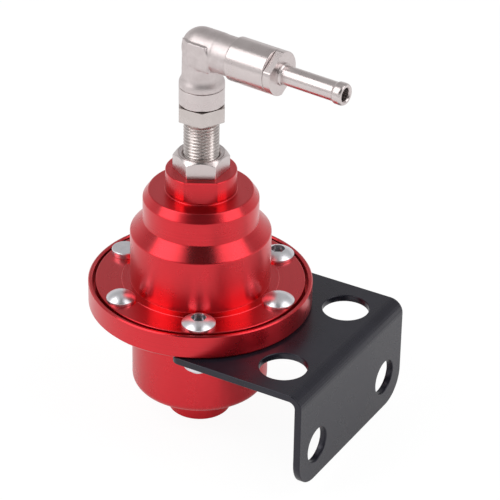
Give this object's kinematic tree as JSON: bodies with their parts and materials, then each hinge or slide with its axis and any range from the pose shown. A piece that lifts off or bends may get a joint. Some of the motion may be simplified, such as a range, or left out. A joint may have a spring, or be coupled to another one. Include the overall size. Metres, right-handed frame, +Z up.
{
  "type": "fuel pressure regulator",
  "caption": "Round clamped diaphragm housing with a stepped bonnet, threaded adjuster, swivel hose elbow and folded bracket; holds fuel line pressure by bleeding to a return port.",
  "frame": {"origin": "centre of the return port's face, at the bottom of the boss", "axes": "+Z up along the regulator's axis towards the hose elbow, +X from the axis towards the bracket's folded wall, +Y along the fold"},
  "size_m": [0.082, 0.064, 0.1221],
  "materials": {
    "red_anodised": "turned and anodised, bright",
    "black_paint": "satin black coating on folded steel",
    "zinc_steel": "bright zinc plate",
    "fabric_rubber": "fabric-reinforced fuel-proof rubber",
    "passivated_steel": "yellow passivated",
    "ball_steel": "ground and polished",
    "seat_brass": "turned",
    "seal_rubber": "moulded",
    "spring_steel": "oiled",
    "nickel_turned": "nickel plate on turned brass",
    "nickel_cast": "nickel plate on cast brass, slightly grainy",
    "gasket_fibre": "pressed fibre"
  },
  "bodies": {
    "housing": {"lower_body": "red_anodised", "bonnet": "red_anodised", "mounting_bracket": "black_paint", "bracket_screws": "zinc_steel", "bracket_nuts": "zinc_steel", "flange_rivets": "zinc_steel", "diaphragm": "fabric_rubber", "valve_seat": "seat_brass", "seat_ring": "seal_rubber", "main_spring": "spring_steel"},
    "valve": {"upper_plate": "passivated_steel", "lower_plate": "passivated_steel", "diaphragm_stud": "zinc_steel", "stud_nut": "zinc_steel", "valve_ball": "ball_steel", "valve_disc": "ball_steel"},
    "spring_cap": {"spring_seat": "passivated_steel"},
    "adjuster": {"adjuster_screw": "nickel_turned", "swivel_ring": "seal_rubber", "swivel_clip": "spring_steel"},
    "lock": {"locknut": "nickel_turned"},
    "elbow": {"elbow_body": "nickel_cast", "clamp_sleeve": "nickel_turned", "hose_nipple": "nickel_turned", "nipple_gasket": "gasket_fibre"}
  },
  "joints": [
    {"name": "adjuster_travel", "type": "slide", "parent": "housing", "child": "spring_cap", "axis": [0, 0, 1], "range_m": [-0.004, 0.002], "deforming": ["main_spring"]},
    {"name": "adjuster_turn", "type": "hinge", "parent": "spring_cap", "child": "adjuster", "pos_m": [0, 0, 0.09], "axis": [0, 0, 1], "range_deg": [-1440, 720]},
    {"name": "elbow_swivel", "type": "hinge", "parent": "spring_cap", "child": "elbow", "pos_m": [0, 0, 0.104], "axis": [0, 0, 1], "continuous": true},
    {"name": "locknut_turn", "type": "hinge", "parent": "housing", "child": "lock", "pos_m": [0, 0, 0.081], "axis": [0, 0, 1], "range_deg": [0, 120]},
    {"name": "valve_lift", "type": "slide", "parent": "housing", "child": "valve", "axis": [0, 0, 1], "range_m": [0, 0.0012], "stiffness_N_per_m": 500, "springref_m": -0.001, "deforming": ["diaphragm"]}
  ],
  "couplings": [
    {"joint": "adjuster_turn", "follows": "adjuster_travel", "rad_per_m": 6283.2}
  ]
}
